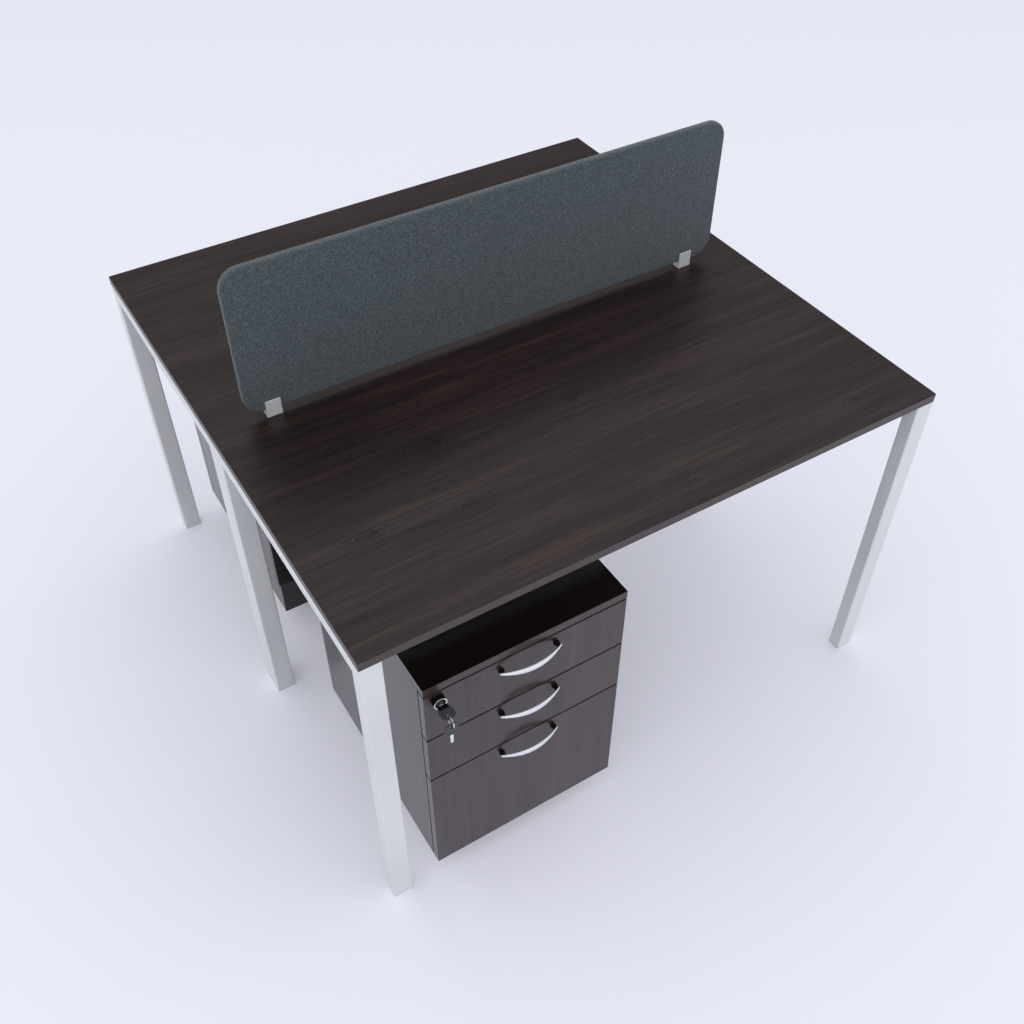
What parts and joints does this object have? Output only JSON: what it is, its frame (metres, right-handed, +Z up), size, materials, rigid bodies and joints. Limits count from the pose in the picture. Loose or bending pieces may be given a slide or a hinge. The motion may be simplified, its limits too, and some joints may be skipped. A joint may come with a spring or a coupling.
{
  "type": "office desk",
  "caption": "Back-to-back office desk on white tube frames with a fabric screen and rolling drawer pedestals that lock, roll, swivel and slide.",
  "frame": {"origin": "on the floor under the middle of the worktop", "axes": "+X along the front edge to the right, +Y from the front user to the rear user, +Z up"},
  "size_m": [1.2, 1.3228, 1.06],
  "materials": {
    "dark_wood": "dark wood-grain laminate, satin",
    "pedestal_wood": "dark wood-grain laminate, satin",
    "white_steel": "white powder coat",
    "zinc_steel": "zinc-plated steel",
    "grey_plastic": "moulded plastic",
    "screen_fabric": "woven heather fabric over a board",
    "bracket_metal": "silver-grey coating",
    "satin_metal": "satin die casting",
    "drawer_steel": "dark coated sheet steel",
    "lock_chrome": "plated lock",
    "key_plastic": "key with plastic head",
    "castor_plastic": "black moulded plastic",
    "castor_wheel": "black wheel"
  },
  "bodies": {
    "desk": {"desktop": "dark_wood", "leg_end_caps": "grey_plastic", "long_rails": "white_steel", "modesty_brackets": "white_steel", "modesty_panel": "dark_wood", "rail_bolts": "zinc_steel", "screen_feet": "bracket_metal", "screen_panel": "screen_fabric", "side_frame_front_left": "white_steel", "side_frame_front_right": "white_steel", "side_frame_rear_left": "white_steel", "side_frame_rear_right": "white_steel"},
    "front_pedestal": {"front_pedestal_carcass": "pedestal_wood", "front_pedestal_top_panel": "pedestal_wood", "front_pedestal_runners": "drawer_steel"},
    "front_upper_drawer": {"front_pedestal_upper_drawer_front": "pedestal_wood", "front_pedestal_upper_drawer_box": "drawer_steel", "front_pedestal_upper_handle": "satin_metal", "front_pedestal_lock_barrel": "lock_chrome"},
    "front_middle_drawer": {"front_pedestal_middle_drawer_front": "pedestal_wood", "front_pedestal_middle_drawer_box": "drawer_steel", "front_pedestal_middle_handle": "satin_metal"},
    "front_file_drawer": {"front_pedestal_file_drawer_front": "pedestal_wood", "front_pedestal_file_drawer_box": "drawer_steel", "front_pedestal_file_handle": "satin_metal"},
    "front_lock": {"front_pedestal_lock_plug": "lock_chrome", "front_pedestal_key": "key_plastic"},
    "front_key_ring": {"front_pedestal_spare_key": "key_plastic"},
    "front_castor_front_left": {"front_pedestal_castor_front_left_hood": "castor_plastic"},
    "front_wheels_front_left": {"front_pedestal_castor_front_left_wheels": "castor_wheel"},
    "front_castor_front_right": {"front_pedestal_castor_front_right_hood": "castor_plastic"},
    "front_wheels_front_right": {"front_pedestal_castor_front_right_wheels": "castor_wheel"},
    "front_castor_back_left": {"front_pedestal_castor_back_left_hood": "castor_plastic"},
    "front_wheels_back_left": {"front_pedestal_castor_back_left_wheels": "castor_wheel"},
    "front_castor_back_right": {"front_pedestal_castor_back_right_hood": "castor_plastic"},
    "front_wheels_back_right": {"front_pedestal_castor_back_right_wheels": "castor_wheel"},
    "rear_pedestal": {"rear_pedestal_carcass": "pedestal_wood", "rear_pedestal_top_panel": "pedestal_wood", "rear_pedestal_runners": "drawer_steel"},
    "rear_upper_drawer": {"rear_pedestal_upper_drawer_front": "pedestal_wood", "rear_pedestal_upper_drawer_box": "drawer_steel", "rear_pedestal_upper_handle": "satin_metal", "rear_pedestal_lock_barrel": "lock_chrome"},
    "rear_middle_drawer": {"rear_pedestal_middle_drawer_front": "pedestal_wood", "rear_pedestal_middle_drawer_box": "drawer_steel", "rear_pedestal_middle_handle": "satin_metal"},
    "rear_file_drawer": {"rear_pedestal_file_drawer_front": "pedestal_wood", "rear_pedestal_file_drawer_box": "drawer_steel", "rear_pedestal_file_handle": "satin_metal"},
    "rear_lock": {"rear_pedestal_lock_plug": "lock_chrome", "rear_pedestal_key": "key_plastic"},
    "rear_key_ring": {"rear_pedestal_spare_key": "key_plastic"},
    "rear_castor_front_left": {"rear_pedestal_castor_front_left_hood": "castor_plastic"},
    "rear_wheels_front_left": {"rear_pedestal_castor_front_left_wheels": "castor_wheel"},
    "rear_castor_front_right": {"rear_pedestal_castor_front_right_hood": "castor_plastic"},
    "rear_wheels_front_right": {"rear_pedestal_castor_front_right_wheels": "castor_wheel"},
    "rear_castor_back_left": {"rear_pedestal_castor_back_left_hood": "castor_plastic"},
    "rear_wheels_back_left": {"rear_pedestal_castor_back_left_wheels": "castor_wheel"},
    "rear_castor_back_right": {"rear_pedestal_castor_back_right_hood": "castor_plastic"},
    "rear_wheels_back_right": {"rear_pedestal_castor_back_right_wheels": "castor_wheel"}
  },
  "joints": [
    {"name": "front_pedestal_roll", "type": "slide", "parent": "desk", "child": "front_pedestal", "axis": [0, -1, 0], "range_m": [-0.1, 0.5]},
    {"name": "front_upper_drawer_slide", "type": "slide", "parent": "front_pedestal", "child": "front_upper_drawer", "axis": [0, -1, 0], "range_m": [0, 0.33]},
    {"name": "front_middle_drawer_slide", "type": "slide", "parent": "front_pedestal", "child": "front_middle_drawer", "axis": [0, -1, 0], "range_m": [0, 0.33]},
    {"name": "front_file_drawer_slide", "type": "slide", "parent": "front_pedestal", "child": "front_file_drawer", "axis": [0, -1, 0], "range_m": [0, 0.4]},
    {"name": "front_lock_turn", "type": "hinge", "parent": "front_upper_drawer", "child": "front_lock", "pos_m": [-0.478, -0.608, 0.576], "axis": [0, 1, 0], "range_deg": [0, 90]},
    {"name": "front_key_ring_swing", "type": "hinge", "parent": "front_lock", "child": "front_key_ring", "pos_m": [-0.478, -0.6499, 0.576], "axis": [-1, 0, 0], "range_deg": [-5, 60]},
    {"name": "front_castor_front_left_swivel", "type": "hinge", "parent": "front_pedestal", "child": "front_castor_front_left", "pos_m": [-0.429, -0.523, 0.06], "axis": [0, 0, 1], "continuous": true},
    {"name": "front_wheels_front_left_spin", "type": "hinge", "parent": "front_castor_front_left", "child": "front_wheels_front_left", "pos_m": [-0.429, -0.506, 0.025], "axis": [1, 0, 0], "continuous": true},
    {"name": "front_castor_front_right_swivel", "type": "hinge", "parent": "front_pedestal", "child": "front_castor_front_right", "pos_m": [-0.179, -0.523, 0.06], "axis": [0, 0, 1], "continuous": true},
    {"name": "front_wheels_front_right_spin", "type": "hinge", "parent": "front_castor_front_right", "child": "front_wheels_front_right", "pos_m": [-0.179, -0.506, 0.025], "axis": [1, 0, 0], "continuous": true},
    {"name": "front_castor_back_left_swivel", "type": "hinge", "parent": "front_pedestal", "child": "front_castor_back_left", "pos_m": [-0.429, -0.213, 0.06], "axis": [0, 0, 1], "continuous": true},
    {"name": "front_wheels_back_left_spin", "type": "hinge", "parent": "front_castor_back_left", "child": "front_wheels_back_left", "pos_m": [-0.429, -0.196, 0.025], "axis": [1, 0, 0], "continuous": true},
    {"name": "front_castor_back_right_swivel", "type": "hinge", "parent": "front_pedestal", "child": "front_castor_back_right", "pos_m": [-0.179, -0.213, 0.06], "axis": [0, 0, 1], "continuous": true},
    {"name": "front_wheels_back_right_spin", "type": "hinge", "parent": "front_castor_back_right", "child": "front_wheels_back_right", "pos_m": [-0.179, -0.196, 0.025], "axis": [1, 0, 0], "continuous": true},
    {"name": "rear_pedestal_roll", "type": "slide", "parent": "desk", "child": "rear_pedestal", "axis": [0, 1, 0], "range_m": [-0.1, 0.5]},
    {"name": "rear_upper_drawer_slide", "type": "slide", "parent": "rear_pedestal", "child": "rear_upper_drawer", "axis": [0, 1, 0], "range_m": [0, 0.33]},
    {"name": "rear_middle_drawer_slide", "type": "slide", "parent": "rear_pedestal", "child": "rear_middle_drawer", "axis": [0, 1, 0], "range_m": [0, 0.33]},
    {"name": "rear_file_drawer_slide", "type": "slide", "parent": "rear_pedestal", "child": "rear_file_drawer", "axis": [0, 1, 0], "range_m": [0, 0.4]},
    {"name": "rear_lock_turn", "type": "hinge", "parent": "rear_upper_drawer", "child": "rear_lock", "pos_m": [-0.13, 0.608, 0.576], "axis": [0, -1, 0], "range_deg": [0, 90]},
    {"name": "rear_key_ring_swing", "type": "hinge", "parent": "rear_lock", "child": "rear_key_ring", "pos_m": [-0.13, 0.6499, 0.576], "axis": [1, 0, 0], "range_deg": [-5, 60]},
    {"name": "rear_castor_front_left_swivel", "type": "hinge", "parent": "rear_pedestal", "child": "rear_castor_front_left", "pos_m": [-0.179, 0.523, 0.06], "axis": [0, 0, 1], "continuous": true},
    {"name": "rear_wheels_front_left_spin", "type": "hinge", "parent": "rear_castor_front_left", "child": "rear_wheels_front_left", "pos_m": [-0.179, 0.506, 0.025], "axis": [-1, 0, 0], "continuous": true},
    {"name": "rear_castor_front_right_swivel", "type": "hinge", "parent": "rear_pedestal", "child": "rear_castor_front_right", "pos_m": [-0.429, 0.523, 0.06], "axis": [0, 0, 1], "continuous": true},
    {"name": "rear_wheels_front_right_spin", "type": "hinge", "parent": "rear_castor_front_right", "child": "rear_wheels_front_right", "pos_m": [-0.429, 0.506, 0.025], "axis": [-1, 0, 0], "continuous": true},
    {"name": "rear_castor_back_left_swivel", "type": "hinge", "parent": "rear_pedestal", "child": "rear_castor_back_left", "pos_m": [-0.179, 0.213, 0.06], "axis": [0, 0, 1], "continuous": true},
    {"name": "rear_wheels_back_left_spin", "type": "hinge", "parent": "rear_castor_back_left", "child": "rear_wheels_back_left", "pos_m": [-0.179, 0.196, 0.025], "axis": [-1, 0, 0], "continuous": true},
    {"name": "rear_castor_back_right_swivel", "type": "hinge", "parent": "rear_pedestal", "child": "rear_castor_back_right", "pos_m": [-0.429, 0.213, 0.06], "axis": [0, 0, 1], "continuous": true},
    {"name": "rear_wheels_back_right_spin", "type": "hinge", "parent": "rear_castor_back_right", "child": "rear_wheels_back_right", "pos_m": [-0.429, 0.196, 0.025], "axis": [-1, 0, 0], "continuous": true}
  ]
}
